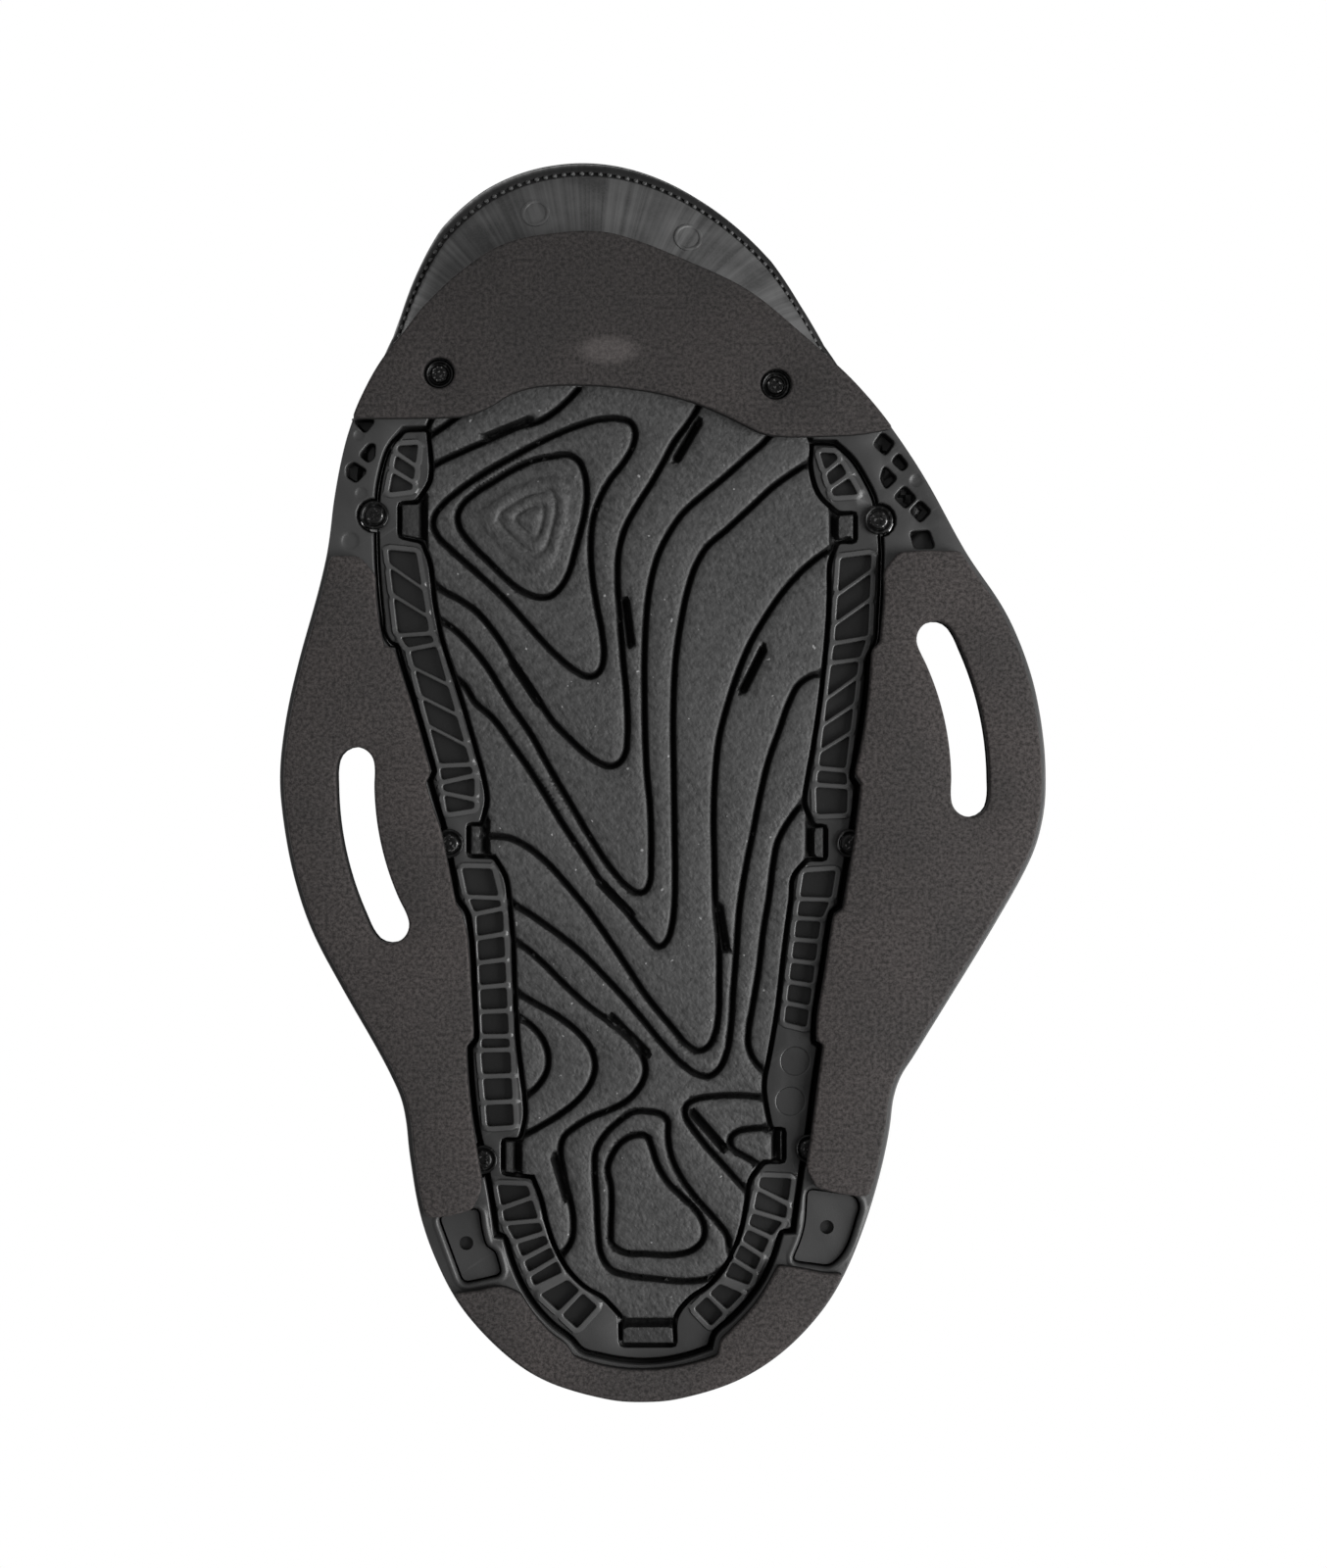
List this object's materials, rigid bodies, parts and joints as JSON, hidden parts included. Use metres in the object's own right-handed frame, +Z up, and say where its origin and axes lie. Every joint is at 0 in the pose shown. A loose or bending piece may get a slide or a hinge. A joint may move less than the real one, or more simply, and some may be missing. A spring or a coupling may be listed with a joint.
{
  "type": "wakeboard boot",
  "caption": "Closed-toe left wakeboard boot with hook-and-loop straps on a slotted nylon mounting chassis with foam base pads and a grooved rubber sole.",
  "frame": {"origin": "centre of the mounting bolt circle, on the plane the base pads stand on", "axes": "+Z up out of the boot, -Y to the toe, +X to the outer side of the left foot"},
  "size_m": [0.1906, 0.3151, 0.2493],
  "materials": {
    "chassis_nylon": "fine moulded texture, satin",
    "frame_nylon": "smooth moulded, satin",
    "tread_rubber": "fine grained moulded rubber",
    "base_pad_foam": "skinned foam, speckled and matt",
    "fastener_steel": "passivated stainless steel",
    "upper_leather": "synthetic leather, fine grain",
    "heel_counter_plastic": "satin moulded thermoplastic",
    "lining_fabric": "brushed knit over foam",
    "strap_webbing": "woven webbing",
    "fastener_pile": "soft loop pile",
    "lasting_fibreboard": "matt pressed fibre"
  },
  "bodies": {
    "root": {"chassis": "chassis_nylon", "sole_frame": "frame_nylon", "tread": "tread_rubber", "cupsole": "tread_rubber", "toe_pad": "base_pad_foam", "inner_wing_pad": "base_pad_foam", "outer_wing_pad": "base_pad_foam", "heel_pad": "base_pad_foam", "toe_cap": "upper_leather", "inner_cuff": "upper_leather", "outer_cuff": "upper_leather", "lasting_board": "lasting_fibreboard", "footbed": "lining_fabric", "vamp": "upper_leather", "inner_quarter": "upper_leather", "outer_quarter": "upper_leather", "heel_counter": "heel_counter_plastic", "vamp_lining": "lining_fabric", "inner_quarter_lining": "lining_fabric", "outer_quarter_lining": "lining_fabric", "inner_cuff_lining": "lining_fabric", "outer_cuff_lining": "lining_fabric", "collar": "lining_fabric", "instep_gusset": "lining_fabric", "pull_loop": "strap_webbing", "lower_strap_base": "strap_webbing", "lower_strap_patch": "fastener_pile", "upper_strap_base": "strap_webbing", "upper_strap_patch": "fastener_pile", "screw_frame_1": "fastener_steel", "washer_frame_1": "fastener_steel", "nut_frame_1": "fastener_steel", "screw_frame_2": "fastener_steel", "washer_frame_2": "fastener_steel", "nut_frame_2": "fastener_steel", "screw_frame_3": "fastener_steel", "washer_frame_3": "fastener_steel", "nut_frame_3": "fastener_steel", "screw_frame_4": "fastener_steel", "washer_frame_4": "fastener_steel", "nut_frame_4": "fastener_steel", "screw_frame_5": "fastener_steel", "washer_frame_5": "fastener_steel", "nut_frame_5": "fastener_steel", "screw_frame_6": "fastener_steel", "washer_frame_6": "fastener_steel", "nut_frame_6": "fastener_steel", "screw_toe_1": "fastener_steel", "washer_toe_1": "fastener_steel", "nut_toe_1": "fastener_steel", "screw_toe_2": "fastener_steel", "washer_toe_2": "fastener_steel", "nut_toe_2": "fastener_steel"},
    "tongue": {"tongue": "upper_leather", "tongue_tab": "strap_webbing"},
    "lower_strap": {"lower_strap": "strap_webbing", "lower_strap_tip": "heel_counter_plastic"},
    "upper_strap": {"upper_strap": "strap_webbing", "upper_strap_tip": "heel_counter_plastic"}
  },
  "joints": [
    {"name": "upper_strap_opening", "type": "hinge", "parent": "root", "child": "upper_strap", "pos_m": [-0.05635, 0.06091, 0.20063], "axis": [0.0989, 0.0073, -0.9951], "range_deg": [0, 100]},
    {"name": "lower_strap_opening", "type": "hinge", "parent": "root", "child": "lower_strap", "pos_m": [-0.0599, -0.02529, 0.07046], "axis": [-0.4019, -0.7951, -0.4542], "range_deg": [0, 80]},
    {"name": "tongue_flex", "type": "hinge", "parent": "root", "child": "tongue", "pos_m": [-0.00507, -0.01899, 0.119], "axis": [1, 0, 0], "range_deg": [0, 20]}
  ],
  "couplings": [
    {"joint": "tongue_flex", "follows": "upper_strap_opening", "ratio": 0.2}
  ]
}
